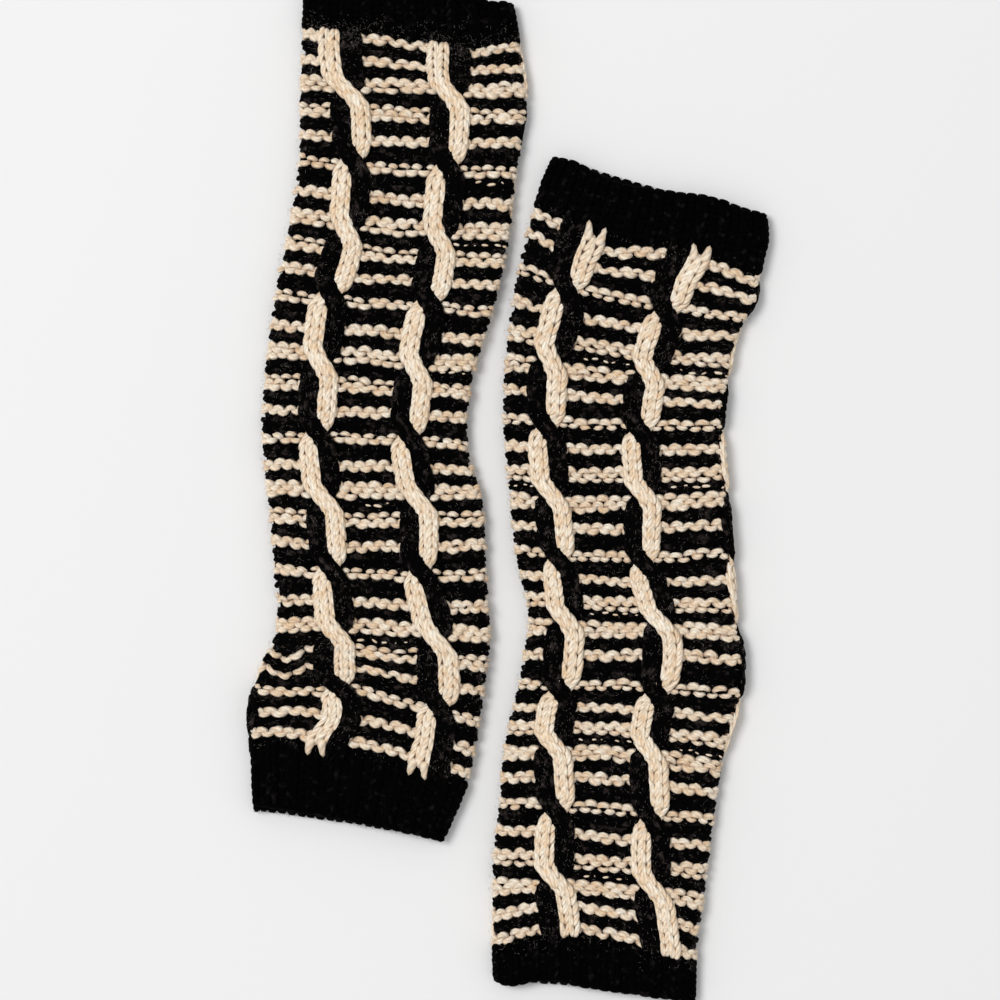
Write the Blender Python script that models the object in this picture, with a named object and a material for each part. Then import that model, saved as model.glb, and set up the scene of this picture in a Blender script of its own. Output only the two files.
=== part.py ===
# A pair of knitted arm warmers, laid flat side by side on a table.
# Each one is a tube knitted in the round in cream and black wool, with a black ribbed cuff at each end.
# Its upper and lower panels rest on each other and meet in a rounded fold along each side. Two cables
# run down the upper panel, each made of a cream and a black strand that cross over one another in turn.
# The two warmers are alike, and the right one is turned end for end.
# Sizes are in millimetres and become metres where a point is made. X runs to the right, Y up the picture.

import bisect
import math
from collections import namedtuple

import bmesh
import bpy

METRES = 0.001

# The knitted cloth
BODY_COURSES = 120  # rows of knitting between the cuffs
REPEAT_COURSES = 22  # rows from one crossing of the cream strand to the next
FIRST_CROSSING = 10.5  # the row at which the cream strand first crosses in front
CROSSING_REACH = 3.0  # rows on each side of a crossing in which the strands slant
STITCHES_APART = 9  # from the middle of one cable to the middle of the next, round the tube
CABLE_STITCH = 0.87  # a cable's stitches are drawn in to this share of the mean stitch

# Thickness, from the table up
BODY_WALL = 4.2
BODY_HEIGHT = 11.0
CUFF_WALL = 3.6
CUFF_HEIGHT = 9.6
SEAM_GAP = 0.14  # rows left free where a cuff meets the body, 0.3 mm or a little more
BLEND_COURSES = 5  # rows over which the body's height sinks to the cuff's
LIP = 0.9  # how far a cuff's edge is rounded in
LIP_COURSES = 0.7

# Relief of the upper panel
STRAND_HALF = 1.1  # half the width of a strand, in cable stitches
STRAND_RISE = 2.3
FRONT_RISE = 3.0  # at a crossing, the strand in front
BEHIND_RISE = 0.7
END_COURSES = 4  # rows over which the cables sink towards a cuff
RIB_RISE = 0.5

# Rings
BODY_STEP = 1.6  # rows of knitting from one outer ring to the next
INNER_RINGS = 12
CUFF_COLUMNS = 42  # one for each stitch of the rib, in turn raised and sunk
CABLE_COLUMNS = (-2.15, -1.5, -0.75, 0.0, 0.75, 1.5, 2.15)  # in stitches from a cable's middle
SIDE_COLUMNS = 3  # between a cable and the fold
MIDDLE_COLUMNS = 4  # between the two cables
UNDER_COLUMNS = 7  # on the lower panel

# A row of knitting on the upper panel: its two ends at the folds, how far its middle hangs below the line
# between them, and where the two cables cross it. Rows are counted from the narrow cuff.
Row = namedtuple("Row", "course left_x left_y right_x right_y sag cable_x next_cable_x")

LEFT_ROWS = (
    Row(-7.4, -96.0, 239.0, 2.0, 231.0, -1.5, -78.0, -28.0),
    Row(0, -97.0, 220.0, 5.0, 212.5, 3.0, -78.0, -28.0),
    Row(11, -98.5, 188.0, 8.5, 185.0, 0.0, -74.5, -27.5),
    Row(22, -99.0, 159.0, 4.0, 153.0, 2.0, -74.5, -29.5),
    Row(33, -104.0, 126.0, -0.5, 117.5, 2.0, -76.5, -33.0),
    Row(44, -110.0, 96.0, -7.0, 87.5, 1.0, -84.0, -38.0),
    Row(55, -114.5, 61.5, -16.5, 55.5, -0.5, -88.5, -44.0),
    Row(66, -116.5, 28.5, -19.5, 24.5, -1.0, -90.0, -47.0),
    Row(77, -113.5, -2.5, -12.0, -4.0, 0.5, -87.0, -42.5),
    Row(88, -111.0, -32.5, -10.5, -35.5, 2.5, -84.0, -41.5),
    Row(97, -108.0, -61.5, -8.5, -66.5, -2.0, -81.5, -35.0),
    Row(106, -116.0, -81.5, -11.5, -93.0, -2.0, -82.0, -33.0),
    Row(115, -122.0, -102.0, -15.5, -120.5, -5.5, -78.5, -35.0),
    Row(120, -121.5, -116.0, -19.5, -136.0, -5.5, -80.5, -38.0),
    Row(130.6, -120.0, -146.0, -31.0, -163.0, -1.0, -84.0, -42.0),
)
RIGHT_ROWS = (
    Row(-7.4, -4.5, -230.0, 87.5, -239.0, -0.5, 22.0, 68.5),
    Row(0, -7.5, -212.5, 88.0, -219.5, -6.0, 24.0, 70.0),
    Row(11, -8.0, -178.0, 92.5, -185.5, -1.5, 21.0, 67.0),
    Row(22, -5.0, -146.0, 96.5, -154.0, -1.0, 22.0, 66.5),
    Row(33, -2.0, -116.5, 101.0, -124.0, -4.0, 20.5, 65.5),
    Row(44, 4.0, -90.5, 110.0, -94.5, -1.0, 24.0, 69.5),
    Row(49, 6.5, -75.0, 111.5, -77.0, -0.5, 25.5, 72.0),
    Row(55, 9.0, -56.5, 108.0, -59.5, 0.0, 26.5, 70.5),
    Row(66, 2.5, -26.5, 105.5, -28.0, 3.5, 23.0, 63.0),
    Row(77, 0.0, 2.5, 102.5, 3.0, 1.0, 19.5, 63.0),
    Row(88, -3.0, 35.0, 100.5, 32.0, 2.0, 17.5, 61.5),
    Row(97, -2.0, 62.0, 102.5, 50.5, 0.5, 18.5, 64.5),
    Row(106, 1.5, 91.5, 107.5, 74.5, 4.0, 25.0, 71.0),
    Row(115, 8.0, 123.0, 116.5, 93.0, 4.5, 30.5, 78.0),
    Row(120, 12.0, 136.0, 118.5, 105.5, 3.5, 35.0, 82.0),
    Row(126, 19.0, 150.5, 122.0, 121.5, 2.5, 40.0, 86.0),
    Row(130.6, 24.0, 159.0, 121.0, 132.0, 1.5, 43.0, 88.5),
)

# The largest folds of the upper panel: a crease sinks and a swell rises. Length and width are from its
# middle to where it has faded to about a third, and turn is in degrees from the X axis.
Fold = namedtuple("Fold", "x y length width turn rise")

LEFT_FOLDS = (
    Fold(-98.0, -78.5, 26.0, 6.0, -4.0, -1.8),
    Fold(-58.0, -88.0, 22.0, 5.0, -12.0, -1.4),
    Fold(-98.0, -65.0, 24.0, 8.0, 4.0, 0.9),
    Fold(-84.0, -104.0, 26.0, 9.0, -8.0, 0.8),
    Fold(-20.0, 33.0, 18.0, 6.0, 12.0, -1.2),
    Fold(-92.0, 100.0, 20.0, 8.0, -20.0, -0.8),
)
RIGHT_FOLDS = (
    Fold(97.0, 82.0, 22.0, 5.5, -15.0, -1.8),
    Fold(97.0, 94.0, 22.0, 7.0, -15.0, 0.9),
    Fold(84.0, 60.0, 20.0, 5.0, -6.0, -1.2),
    Fold(7.5, -31.0, 16.0, 6.0, 38.0, -1.5),
    Fold(42.0, -101.0, 20.0, 6.0, 10.0, -1.0),
    Fold(8.0, -117.0, 15.0, 6.0, -16.0, -0.8),
)

# A warmer: side is which way its stitches are counted over the top, and peek is how far the lower panel
# shows past the upper one at the wide cuff's edge, measured up the picture.
Warmer = namedtuple("Warmer", "name rows folds side peek upper_cuff")

WARMERS = (
    Warmer("left", LEFT_ROWS, LEFT_FOLDS, 1, -3.0, "narrow"),
    Warmer("right", RIGHT_ROWS, RIGHT_FOLDS, -1, 1.2, "wide"),
)

# Colours in linear light, with roughness
CREAM_AND_BLACK_WOOL = ("cream_and_black_wool", (0.42, 0.34, 0.24), 0.95)
BLACK_WOOL = ("black_wool", (0.006, 0.006, 0.006), 0.95)


def ease(value):
    """0 up to 0, 1 from 1 on, and a smooth rise between."""
    value = max(0.0, min(1.0, value))
    return value * value * (3 - 2 * value)


def between_rows(rows, column, course):
    """A column of the table at any course, on a smooth curve through its rows."""
    places = [row.course for row in rows]
    values = [getattr(row, column) for row in rows]
    last = len(rows) - 1
    i = max(0, min(last - 1, bisect.bisect_right(places, course) - 1))

    def slope(k):
        before, after = max(0, k - 1), min(last, k + 1)
        return (values[after] - values[before]) / (places[after] - places[before])

    span = places[i + 1] - places[i]
    t = (course - places[i]) / span
    blend = t * t * (3 - 2 * t)
    start = (t * t * t - 2 * t * t + t) * span * slope(i)
    end = (t * t * t - t * t) * span * slope(i + 1)
    return values[i] * (1 - blend) + values[i + 1] * blend + start + end


class Section:
    """One closed ring round a warmer: two flat panels and a half round at each fold."""

    def __init__(self, warmer, course):
        self.warmer = warmer
        self.course = course
        self.left = [between_rows(warmer.rows, name, course) for name in ("left_x", "left_y")]
        self.right = [between_rows(warmer.rows, name, course) for name in ("right_x", "right_y")]
        self.sag = between_rows(warmer.rows, "sag", course)
        across = [b - a for a, b in zip(self.left, self.right)]
        self.half_width = math.hypot(*across) / 2
        inside = min(course, BODY_COURSES - course) / BLEND_COURSES
        self.height = CUFF_HEIGHT + (BODY_HEIGHT - CUFF_HEIGHT) * ease((inside + 1) / 2)
        self.radius = self.height / 2
        self.quarter = math.pi * self.radius / 2
        self.flat = 2 * (self.half_width - self.radius)
        self.around = 2 * self.flat + 4 * self.quarter

    def cable(self, column):
        """How far round from the left fold a cable's middle lies."""
        x = between_rows(self.warmer.rows, column, self.course)
        share = (x - self.left[0]) / (self.right[0] - self.left[0])
        return self.quarter + (share - 0.5) * 2 * self.half_width + self.flat / 2

    def place(self, along, inwards):
        """The point this far round from the left fold, over the top and back beneath, and this far in."""
        reach, radius = self.half_width - self.radius, self.radius
        along %= self.around
        if along < self.quarter:
            turn = along / radius
            outwards = (-math.cos(turn), math.sin(turn))
            across = -reach
        elif along < self.quarter + self.flat:
            outwards = (0.0, 1.0)
            across = along - self.quarter - reach
        elif along < 3 * self.quarter + self.flat:
            turn = (along - self.quarter - self.flat) / radius
            outwards = (math.sin(turn), math.cos(turn))
            across = reach
        elif along < 3 * self.quarter + 2 * self.flat:
            outwards = (0.0, -1.0)
            across = reach - (along - 3 * self.quarter - self.flat)
        else:
            turn = (along - 3 * self.quarter - 2 * self.flat) / radius
            outwards = (-math.sin(turn), -math.cos(turn))
            across = -reach
        topside = max(0.0, outwards[1])
        depth = radius - (inwards if inwards > 0 else inwards * topside)
        across += outwards[0] * depth
        z = radius + outwards[1] * depth

        share = 0.5 + across / self.half_width / 2
        x = self.left[0] + (self.right[0] - self.left[0]) * share
        y = self.left[1] + (self.right[1] - self.left[1]) * share
        y -= self.sag * 4 * share * (1 - share)
        past = ease((self.course - BODY_COURSES) / BLEND_COURSES) * (1 - share)
        y += self.warmer.peek * past * (1 - topside)
        z += topside * topside * fold_rise(self.warmer.folds, x, y)
        return (x * METRES, y * METRES, z * METRES)


def fold_rise(folds, x, y):
    """How far the creases and swells lift the upper panel here."""
    rise = 0.0
    for fold in folds:
        turn = math.radians(fold.turn)
        dx, dy = x - fold.x, y - fold.y
        along = (dx * math.cos(turn) + dy * math.sin(turn)) / fold.length
        across = (dy * math.cos(turn) - dx * math.sin(turn)) / fold.width
        rise += fold.rise * math.exp(-along * along - across * across)
    return rise


def strand_offset(course, crossing):
    """Where a strand's middle lies, in stitches from the cable's middle: it goes over at its own crossing
    and back beneath the other strand half a repeat later."""
    since = (course - crossing + CROSSING_REACH) % REPEAT_COURSES
    over = ease(since / (2 * CROSSING_REACH))
    back = ease((since - REPEAT_COURSES / 2) / (2 * CROSSING_REACH))
    return 2 * (over - back) - 1


def strand_rise(course, crossing):
    """How high a strand stands: most where it crosses in front, least where it goes behind."""
    half = REPEAT_COURSES / 2
    to_front = abs((course - crossing + half) % REPEAT_COURSES - half)
    front = ease(1 - to_front / (CROSSING_REACH + 1))
    behind = ease(1 - (half - to_front) / CROSSING_REACH)
    return STRAND_RISE + (FRONT_RISE - STRAND_RISE) * front + (BEHIND_RISE - STRAND_RISE) * behind


def cable_rise(course, stitches):
    """The cable's relief this many stitches from its middle, as the higher of its two strands."""
    highest = 0.0
    for crossing in (FIRST_CROSSING, FIRST_CROSSING + REPEAT_COURSES / 2):
        away = (stitches - strand_offset(course, crossing)) / STRAND_HALF
        if abs(away) < 1:
            highest = max(highest, strand_rise(course, crossing) * math.sqrt(1 - away * away))
    inside = min(course, BODY_COURSES - course)
    return highest * ease((inside + END_COURSES / 3) / END_COURSES)


def spread(start, end, count):
    """This many places between start and end, both left out."""
    return [start + (end - start) * (k + 1) / (count + 1) for k in range(count)]


def body_columns(section):
    """Where a body's columns stand round the section, each with its distance from a cable, if on one."""
    first, second = section.cable("cable_x"), section.cable("next_cable_x")
    stitch = (second - first) / STITCHES_APART * CABLE_STITCH
    quarter, over = section.quarter, section.quarter + section.flat
    cables = [[(middle + s * stitch, s) for s in CABLE_COLUMNS] for middle in (first, second)]
    under = over + 2 * quarter
    columns = [(along, None) for along in (0.0, quarter / 2, quarter)]
    columns += [(along, None) for along in spread(quarter, cables[0][0][0], SIDE_COLUMNS)]
    columns += cables[0]
    columns += [(along, None) for along in spread(cables[0][-1][0], cables[1][0][0], MIDDLE_COLUMNS)]
    columns += cables[1]
    columns += [(along, None) for along in spread(cables[1][-1][0], over, SIDE_COLUMNS)]
    columns += [(over + quarter * k / 2, None) for k in range(5)]
    columns += [(along, None) for along in spread(under, under + section.flat, UNDER_COLUMNS)]
    columns += [(along, None) for along in (under + section.flat, section.around - quarter / 2)]
    return columns


def body_ring(warmer, course, inwards):
    section = Section(warmer, course)
    points = []
    for along, stitches in body_columns(section):
        lift = 0.0
        if stitches is not None and not inwards:
            lift = cable_rise(course, warmer.side * stitches)
        points.append(section.place(along, inwards - lift))
    return points


def cuff_ring(warmer, course, inwards, ribbed=True):
    section = Section(warmer, course)
    points = []
    for column in range(CUFF_COLUMNS):
        lift = RIB_RISE * (1 - column % 2) if ribbed else 0.0
        points.append(section.place(section.around * column / CUFF_COLUMNS, inwards - lift))
    return points


def body_rings(warmer):
    """A loop of rings: along the outside of the wall from one end to the other, and back along its inside."""
    start, end = SEAM_GAP / 2, BODY_COURSES - SEAM_GAP / 2
    count = round(BODY_COURSES / BODY_STEP)
    outside = [start + (end - start) * k / count for k in range(count + 1)]
    inside = [end + (start - end) * k / (INNER_RINGS - 1) for k in range(INNER_RINGS)]
    rings = [body_ring(warmer, course, 0.0) for course in outside]
    return rings + [body_ring(warmer, course, BODY_WALL) for course in inside]


def cuff_rings(warmer, seam, edge):
    outwards = 1 if edge > seam else -1
    lip = edge - outwards * LIP_COURSES
    rings = [cuff_ring(warmer, course, 0.0) for course in (seam, (seam + lip) / 2, lip)]
    rings.append(cuff_ring(warmer, edge, LIP, ribbed=False))
    rings.append(cuff_ring(warmer, edge, CUFF_WALL - LIP / 2, ribbed=False))
    rings += [cuff_ring(warmer, course, CUFF_WALL, ribbed=False) for course in (lip, seam)]
    return rings


def make_material(name, colour, roughness):
    material = bpy.data.materials.new(name)
    material.use_nodes = True
    shader = material.node_tree.nodes["Principled BSDF"]
    shader.inputs["Base Color"].default_value = (*colour, 1.0)
    shader.inputs["Roughness"].default_value = roughness
    shader.inputs["Metallic"].default_value = 0.0
    return material


def make_piece(name, rings, material, collection):
    """A wall through a closed loop of rings, each joined to the next and the last to the first."""
    shape = bmesh.new()
    corners = [[shape.verts.new(point) for point in ring] for ring in rings]
    columns = len(rings[0])
    for i, ring in enumerate(corners):
        following = corners[(i + 1) % len(corners)]
        for j in range(columns):
            k = (j + 1) % columns
            shape.faces.new((ring[j], ring[k], following[k], following[j]))
    bmesh.ops.recalc_face_normals(shape, faces=shape.faces)
    mesh = bpy.data.meshes.new(name)
    shape.to_mesh(mesh)
    shape.free()
    mesh.materials.append(material)
    mesh.shade_smooth()
    piece = bpy.data.objects.new(name, mesh)
    collection.objects.link(piece)
    return piece


def make_warmer(warmer, cloth, rib, collection):
    narrow, wide = warmer.rows[0].course, warmer.rows[-1].course
    gap = SEAM_GAP / 2
    cuffs = {"narrow": (-gap, narrow), "wide": (BODY_COURSES + gap, wide)}
    make_piece(f"{warmer.name}_cabled_body", body_rings(warmer), cloth, collection)
    for size, (seam, edge) in cuffs.items():
        place = "upper" if size == warmer.upper_cuff else "lower"
        rings = cuff_rings(warmer, seam, edge)
        make_piece(f"{warmer.name}_{place}_cuff", rings, rib, collection)


def main():
    for thing in list(bpy.data.objects):
        bpy.data.objects.remove(thing, do_unlink=True)
    collection = bpy.data.collections.new("pair_of_arm_warmers")
    bpy.context.scene.collection.children.link(collection)
    cloth = make_material(*CREAM_AND_BLACK_WOOL)
    rib = make_material(*BLACK_WOOL)
    for warmer in WARMERS:
        make_warmer(warmer, cloth, rib, collection)


main()
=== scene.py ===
# A pair of hand-knitted arm warmers in cream and black wool, laid flat side by side on a pale floor.
# Lengths are in millimetres and become metres where a mesh is made. Rows of knitting are counted from
# each warmer's narrow cuff, and stitches are counted round it from the middle of its first cable.
import math

import bpy
import numpy as np
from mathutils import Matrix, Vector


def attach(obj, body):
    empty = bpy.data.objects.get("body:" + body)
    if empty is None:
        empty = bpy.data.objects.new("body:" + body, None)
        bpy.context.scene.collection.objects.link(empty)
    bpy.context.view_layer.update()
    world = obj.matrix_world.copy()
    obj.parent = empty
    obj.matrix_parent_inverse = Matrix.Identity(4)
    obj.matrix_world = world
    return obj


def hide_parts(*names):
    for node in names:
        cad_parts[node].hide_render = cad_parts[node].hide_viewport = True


scene = bpy.context.scene
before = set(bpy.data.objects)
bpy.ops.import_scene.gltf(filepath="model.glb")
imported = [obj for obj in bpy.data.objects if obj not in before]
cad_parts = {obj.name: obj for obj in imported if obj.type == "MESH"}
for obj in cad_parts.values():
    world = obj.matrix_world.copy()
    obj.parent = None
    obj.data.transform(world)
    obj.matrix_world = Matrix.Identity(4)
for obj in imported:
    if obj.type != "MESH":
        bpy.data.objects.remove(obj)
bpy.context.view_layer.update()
dice = np.random.default_rng(45)

# the cloth's shape, as in the CAD
cloth = {
    "bodyRows": 120, "repeatRows": 22, "stitchesRound": 45, "repeatStitches": 9,
    "cableStitches": 4, "cableStitch": 0.87,  # a cable's stitches, and their width as a share of the mean
    "bodyHeight": 11.0, "cuffHeight": 9.6, "blendRows": 5, "wall": 4.2, "sideSwell": 0.8,
    "stretchPast": ((0.2, 0.014), (0.8, -0.019)), "stretchReach": 0.08,  # shares of the way round beneath
}
# the row where each strand crosses in front, and the rows on either side in which it moves across
cableTurn = {
    "creamCrossing": 10.5, "blackCrossing": 21.5, "reach": 3.0, "straightRows": 3.5,
    "rise": 2.3, "frontRise": 3.0, "behindRise": 0.7, "halfWidth": 1.3,  # mm, and stitches
    "endRows": 4, "endRise": 0.65,  # the rows in which it sinks at both ends, and their share past the seam
}

rowColumns = ("course", "leftX", "leftY", "rightX", "rightY", "sag", "cableX", "nextCableX")
leftRows = np.array([
    (-7.4, -96.0, 239.0, 2.0, 231.0, -1.5, -79.2, -28.0),
    (0, -97.0, 220.0, 5.0, 212.5, 3.0, -79.2, -28.0),
    (5.5, -97.8, 204.0, 7.1, 199.0, 1.5, -78.8, -28.2),
    (11, -98.5, 188.0, 8.5, 185.0, 0.0, -75.2, -27.5),
    (22, -99.0, 159.0, 4.0, 153.0, 2.0, -73.6, -29.0),
    (33, -104.0, 126.0, -0.5, 117.5, 2.0, -76.5, -33.0),
    (44, -110.0, 96.0, -7.0, 87.5, 1.0, -84.0, -38.0),
    (55, -114.5, 61.5, -16.5, 55.5, -0.5, -88.5, -44.0),
    (66, -116.5, 28.5, -19.5, 24.5, -1.0, -90.0, -47.0),
    (77, -113.5, -2.5, -12.0, -4.0, 0.5, -87.0, -42.5),
    (88, -111.0, -32.5, -10.5, -35.5, 2.5, -84.0, -41.5),
    (97, -109.5, -61.5, -8.5, -66.5, -2.0, -81.5, -35.0),
    (106, -117.0, -81.5, -11.5, -93.0, -2.0, -82.0, -33.0),
    (115, -122.0, -102.0, -15.5, -120.5, -5.5, -78.5, -35.0),
    (120, -121.5, -116.0, -19.5, -136.0, -5.5, -86.0, -38.0),
    (130.6, -120.0, -146.0, -31.0, -163.0, -1.0, -84.0, -42.0),
])
rightRows = np.array([
    (-7.4, -7.0, -228.5, 87.5, -239.0, -1.0, 22.0, 68.5),
    (0, -7.5, -212.5, 88.0, -219.5, -6.0, 24.0, 71.2),
    (11, -8.0, -178.0, 92.5, -185.5, -1.5, 21.0, 67.0),
    (22, -5.0, -146.0, 96.5, -154.0, -1.0, 22.0, 66.5),
    (33, -2.0, -116.5, 101.0, -124.0, -4.0, 20.5, 65.5),
    (44, 4.0, -90.5, 109.0, -94.5, -1.0, 24.0, 69.5),
    (49, 6.5, -75.0, 110.2, -77.0, -0.5, 25.5, 72.0),
    (55, 9.0, -56.5, 107.0, -59.5, 0.0, 26.5, 70.5),
    (66, 2.5, -26.5, 104.7, -28.0, 3.5, 23.0, 63.0),
    (77, 0.0, 2.5, 102.5, 3.0, 1.0, 19.5, 63.0),
    (88, -3.0, 35.0, 100.5, 32.0, 2.0, 17.5, 61.5),
    (97, -2.0, 62.0, 102.5, 50.5, 0.5, 18.5, 64.5),
    (106, 1.5, 91.5, 107.5, 74.5, 4.0, 25.0, 71.0),
    (115, 8.0, 123.0, 116.5, 93.0, 4.5, 30.5, 78.0),
    (120, 12.0, 136.0, 118.5, 105.5, 3.5, 35.5, 85.0),
    (126, 17.2, 150.5, 122.0, 121.5, 2.5, 40.0, 86.0),
    (130.6, 20.8, 158.0, 121.0, 132.0, 1.5, 43.0, 88.5),
])

# creases sink and swells rise: x, y, half length, half width, turn in degrees, rise
leftFolds = [
    (-98.0, -78.5, 26.0, 6.0, -4.0, -1.8),
    (-58.0, -88.0, 22.0, 5.0, -12.0, -1.4),
    (-98.0, -65.0, 24.0, 8.0, 4.0, 0.9),
    (-84.0, -104.0, 26.0, 9.0, -8.0, 0.8),
    (-20.0, 33.0, 18.0, 6.0, 12.0, -1.2),
    (-92.0, 100.0, 20.0, 8.0, -20.0, -0.8),
]
rightFolds = [
    (97.0, 82.0, 22.0, 5.5, -15.0, -1.8),
    (97.0, 94.0, 22.0, 7.0, -15.0, 0.9),
    (84.0, 60.0, 20.0, 5.0, -6.0, -1.2),
    (7.5, -31.0, 16.0, 6.0, 38.0, -1.5),
    (42.0, -101.0, 20.0, 6.0, 10.0, -1.0),
    (8.0, -117.0, 15.0, 6.0, -16.0, -0.8),
]

# places where the rows bend aside in the cloth's plane: x, y, half length, half width, shift towards +y
leftBends = [
    (-105.0, -73.0, 22.0, 9.0, 2.6), (-105.0, -74.0, 8.0, 10.0, -6.2), (-116.0, -82.0, 7.0, 6.0, 2.5),
    (-94.0, -82.0, 7.0, 6.0, 2.5), (-69.0, -89.0, 14.0, 10.0, 3.6), (-20.0, 210.0, 12.0, 14.0, -2.6),
    (-62.0, 214.0, 12.0, 12.0, 2.6),
]
rightBends = [
    (42.8, 118.4, 16.0, 14.0, -5.0), (74.0, 114.0, 12.0, 12.0, 2.4), (118.0, 100.0, 12.0, 22.0, -3.0),
    (100.0, 111.0, 12.0, 14.0, 2.6), (54.5, 150.0, 12.0, 14.0, -2.5), (95.0, 139.0, 15.0, 12.0, 2.4),
    (30.0, 158.0, 8.0, 8.0, 2.0), (24.0, -204.0, 20.0, 16.0, 4.0), (1.5, -231.0, 6.0, 12.0, -2.0),
    (22.0, -228.0, 12.0, 10.0, 2.0),
]

# cream yarn that shows through the black in short dashes: the row, and from which stitch to which
leftSpecks = [(24.1, 12.4, 14.8), (33.2, 10.8, 15.8), (54.6, 10.9, 13.8), (77.3, 4.2, 6.6), (99.6, 2.6, 6.6),
              (13.6, -3.4, -2.4)]
rightSpecks = [(11.4, 2.4, 6.8), (33.3, 2.4, 6.8), (33.2, -6.5, -2.4), (55.7, 2.4, 6.8), (77.5, -6.8, -2.4),
               (77.7, 10.8, 14.0), (99.2, -6.8, -2.4), (99.4, 2.4, 6.8), (8.2, 3.6, 5.0)]
# rows that a crease hides, and the first stitch of the repeat where it does
leftSwallowed = [(100.75, 36), (101.7, 36), (105.5, 36)]

# side: which way the stitches are counted over the top
# peek: how far along y the lower panel's left end lies from the upper one's at the wide cuff, in mm
# haze: the row where extra loose fibres gather, their spread in rows, and how many they are
warmers = [
    {"name": "left", "rows": leftRows, "folds": leftFolds, "bends": leftBends, "specks": leftSpecks,
     "swallowed": leftSwallowed, "haze": (0.0, 1.5, 1100), "side": 1, "peek": -3.0,
     "cuffs": {"narrow": "left_upper_cuff", "wide": "left_lower_cuff"}},
    {"name": "right", "rows": rightRows, "folds": rightFolds, "bends": rightBends, "specks": rightSpecks,
     "swallowed": [], "haze": (0.0, 1.5, 400), "side": -1, "peek": 1.2,
     "cuffs": {"narrow": "right_lower_cuff", "wide": "right_upper_cuff"}},
]


def ease(value):
    value = np.clip(value, 0.0, 1.0)
    return value * value * (3 - 2 * value)


def alongRows(warmer, column, course):
    # a smooth curve through one column of the warmer's table
    places = warmer["rows"][:, 0]
    values = warmer["rows"][:, rowColumns.index(column)]
    last = len(places) - 1
    before = np.maximum(np.arange(last + 1) - 1, 0)
    after = np.minimum(np.arange(last + 1) + 1, last)
    slopes = (values[after] - values[before]) / (places[after] - places[before])
    i = np.clip(np.searchsorted(places, course, side="right") - 1, 0, last - 1)
    span = places[i + 1] - places[i]
    t = (course - places[i]) / span
    mix = t * t * (3 - 2 * t)
    start = (t ** 3 - 2 * t * t + t) * span * slopes[i]
    end = (t ** 3 - t * t) * span * slopes[i + 1]
    return values[i] * (1 - mix) + values[i + 1] * mix + start + end


def ringSizes(warmer, course):
    # the flattened tube at each row: two flat panels and a half round at each fold
    left = [alongRows(warmer, name, course) for name in ("leftX", "leftY")]
    right = [alongRows(warmer, name, course) for name in ("rightX", "rightY")]
    width = np.hypot(right[0] - left[0], right[1] - left[1])
    inside = np.minimum(course, cloth["bodyRows"] - course) / cloth["blendRows"]
    height = cloth["cuffHeight"] + (cloth["bodyHeight"] - cloth["cuffHeight"]) * ease((inside + 1) / 2)
    radius = height / 2
    quarter = math.pi * radius / 2
    flat = width - 2 * radius
    return {"left": left, "right": right, "half": width / 2, "radius": radius,
            "quarter": quarter, "flat": flat, "around": 2 * flat + 4 * quarter}


def onCloth(warmer, course, around, lift):
    # points this far round from the left fold, over the top and back beneath, and this far off the
    # surface, with the way out of the cloth there and how much it faces up
    ring = ringSizes(warmer, course)
    radius, quarter, flat = ring["radius"], ring["quarter"], ring["flat"]
    reach = ring["half"] - radius
    s = np.mod(around, ring["around"])
    rightTurn = (s - quarter - flat) / radius
    lowTurn = (s - 3 * quarter - 2 * flat) / radius
    places = [s < quarter, s < quarter + flat, s < 3 * quarter + flat, s < 3 * quarter + 2 * flat]
    zero = np.zeros_like(s)
    outX = np.select(places, [-np.cos(s / radius), zero, np.sin(rightTurn), zero], -np.sin(lowTurn))
    outZ = np.select(places, [np.sin(s / radius), zero + 1, np.cos(rightTurn), zero - 1], -np.cos(lowTurn))
    middle = np.select(places, [-reach, s - quarter - reach, reach, reach - (s - 3 * quarter - flat)], -reach)
    topside = np.maximum(0.0, outZ)
    across = middle + outX * (radius + lift + cloth["sideSwell"])
    z = radius + outZ * (radius + lift)
    share = 0.5 + across / ring["half"] / 2
    x = ring["left"][0] + (ring["right"][0] - ring["left"][0]) * share
    y = ring["left"][1] + (ring["right"][1] - ring["left"][1]) * share
    y = y - alongRows(warmer, "sag", course) * 4 * share * (1 - share)
    past = ease((course - cloth["bodyRows"]) / cloth["blendRows"]) * (1 - share)
    y = y + warmer["peek"] * past * (1 - topside)
    for bendX, bendY, length, width, shift in warmer["bends"]:
        y = y + topside * shift * np.exp(-((x - bendX) / length) ** 2 - ((y - bendY) / width) ** 2)
    z = z + topside ** 2 * foldRise(warmer["folds"], x, y)
    chordX = (ring["right"][0] - ring["left"][0]) / ring["half"] / 2
    chordY = (ring["right"][1] - ring["left"][1]) / ring["half"] / 2
    outward = np.stack([outX * chordX, outX * chordY, outZ], axis=-1)
    return np.stack([x, y, z], axis=-1), outward, topside


def foldRise(folds, x, y):
    rise = np.zeros_like(x)
    for foldX, foldY, length, width, turn, height in folds:
        c, s = math.cos(math.radians(turn)), math.sin(math.radians(turn))
        along = ((x - foldX) * c + (y - foldY) * s) / length
        across = ((y - foldY) * c - (x - foldX) * s) / width
        rise = rise + height * np.exp(-along ** 2 - across ** 2)
    return rise


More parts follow.
